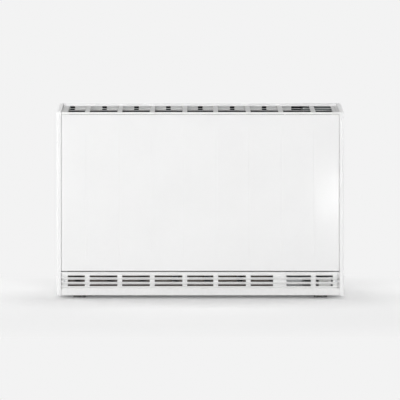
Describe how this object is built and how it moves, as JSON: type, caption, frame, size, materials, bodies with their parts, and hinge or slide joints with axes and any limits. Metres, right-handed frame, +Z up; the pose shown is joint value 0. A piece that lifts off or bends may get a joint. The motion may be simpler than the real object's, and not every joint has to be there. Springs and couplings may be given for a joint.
{
  "type": "storage heater",
  "caption": "Slim wall-mounted storage heater: white casing, sloped top grille, louvred lower grille, brick store, fan and damper inside, control pod on top.",
  "frame": {"origin": "middle of the floor footprint, level with the underside of the feet", "axes": "+Z up, the front panel faces -Y, +X to the right as seen from the front"},
  "size_m": [1.07, 0.185, 0.73],
  "materials": {
    "panel_white": "gloss",
    "top_white": "satin",
    "trim_white": "gloss",
    "grille_white": "satin",
    "galvanised": "satin",
    "warm_steel": "matte",
    "bracket_zinc": "satin",
    "foot_grey": "matte",
    "insulation_board": "matte",
    "store_brick": "matte",
    "element_sheath": "satin",
    "white_ceramic": "satin",
    "fan_aluminium": "satin",
    "motor_steel": "satin",
    "coil_copper": "gloss",
    "soft_black": "matte",
    "cream_plastic": "satin",
    "white_plastic": "satin",
    "board_green": "satin",
    "relay_black": "satin",
    "reset_red": "gloss",
    "pod_grey": "satin",
    "window_glass": "polished",
    "display_grey": "satin",
    "button_grey": "satin"
  },
  "bodies": {
    "casing": {"left_side_panel": "trim_white", "right_side_panel": "trim_white", "front_panel": "panel_white", "top_panel": "top_white", "top_grille": "grille_white", "lower_grille": "grille_white", "rear_panel": "galvanised", "base_tray": "galvanised", "left_end_plate": "galvanised", "right_end_plate": "galvanised", "left_foot": "foot_grey", "right_foot": "foot_grey", "wall_brackets": "bracket_zinc", "core_support": "warm_steel", "core_casing": "warm_steel", "inner_front_cover": "warm_steel", "base_insulation": "insulation_board", "rear_insulation": "insulation_board", "front_insulation": "insulation_board", "left_insulation": "insulation_board", "right_insulation": "insulation_board", "top_insulation": "insulation_board", "brick_row_1": "store_brick", "brick_row_2": "store_brick", "brick_row_3": "store_brick", "brick_row_4": "store_brick", "heating_element_1": "element_sheath", "heating_element_2": "element_sheath", "heating_element_3": "element_sheath", "heating_element_4": "element_sheath", "element_bushes": "white_ceramic", "core_sensor": "element_sheath", "fan_housing": "galvanised", "fan_bearing": "soft_black", "fan_motor": "motor_steel", "fan_motor_coil": "coil_copper", "damper_motor": "cream_plastic", "partition_panel": "galvanised", "board_carrier": "white_plastic", "control_board": "board_green", "board_relays": "relay_black", "terminal_block": "cream_plastic", "cable_clamp": "white_plastic", "cable_bushes": "soft_black", "thermal_cutout": "relay_black", "room_sensor": "white_plastic", "control_pod": "pod_grey", "display_window": "window_glass", "display_module": "display_grey", "pod_board": "board_green", "case_screws": "bracket_zinc"},
    "fan": {"fan_rotor": "fan_aluminium", "fan_shaft": "bracket_zinc", "fan_armature": "fan_aluminium"},
    "damper": {"damper_flap": "galvanised"},
    "up_key": {"button_up": "button_grey"},
    "down_key": {"button_down": "button_grey"},
    "select_key": {"button_select": "button_grey"},
    "back_key": {"button_back": "button_grey"},
    "reset_key": {"cutout_reset_button": "reset_red"}
  },
  "joints": [
    {"name": "fan_spin", "type": "hinge", "parent": "casing", "child": "fan", "pos_m": [0, 0.02, 0.07], "axis": [1, 0, 0], "continuous": true},
    {"name": "damper_swing", "type": "hinge", "parent": "casing", "child": "damper", "pos_m": [0, -0.028, 0.112], "axis": [-1, 0, 0], "range_deg": [0, 80]},
    {"name": "up_press", "type": "slide", "parent": "casing", "child": "up_key", "axis": [0, 0, -1], "range_m": [0, 0.001], "stiffness_N_per_m": 1000, "springref_m": -0.0005},
    {"name": "down_press", "type": "slide", "parent": "casing", "child": "down_key", "axis": [0, 0, -1], "range_m": [0, 0.001], "stiffness_N_per_m": 1000, "springref_m": -0.0005},
    {"name": "select_press", "type": "slide", "parent": "casing", "child": "select_key", "axis": [0, 0, -1], "range_m": [0, 0.001], "stiffness_N_per_m": 1000, "springref_m": -0.0005},
    {"name": "back_press", "type": "slide", "parent": "casing", "child": "back_key", "axis": [0, 0, -1], "range_m": [0, 0.001], "stiffness_N_per_m": 1000, "springref_m": -0.0005},
    {"name": "reset_press", "type": "slide", "parent": "casing", "child": "reset_key", "axis": [-1, 0, 0], "range_m": [0, 0.002], "stiffness_N_per_m": 800, "springref_m": -0.0005}
  ]
}
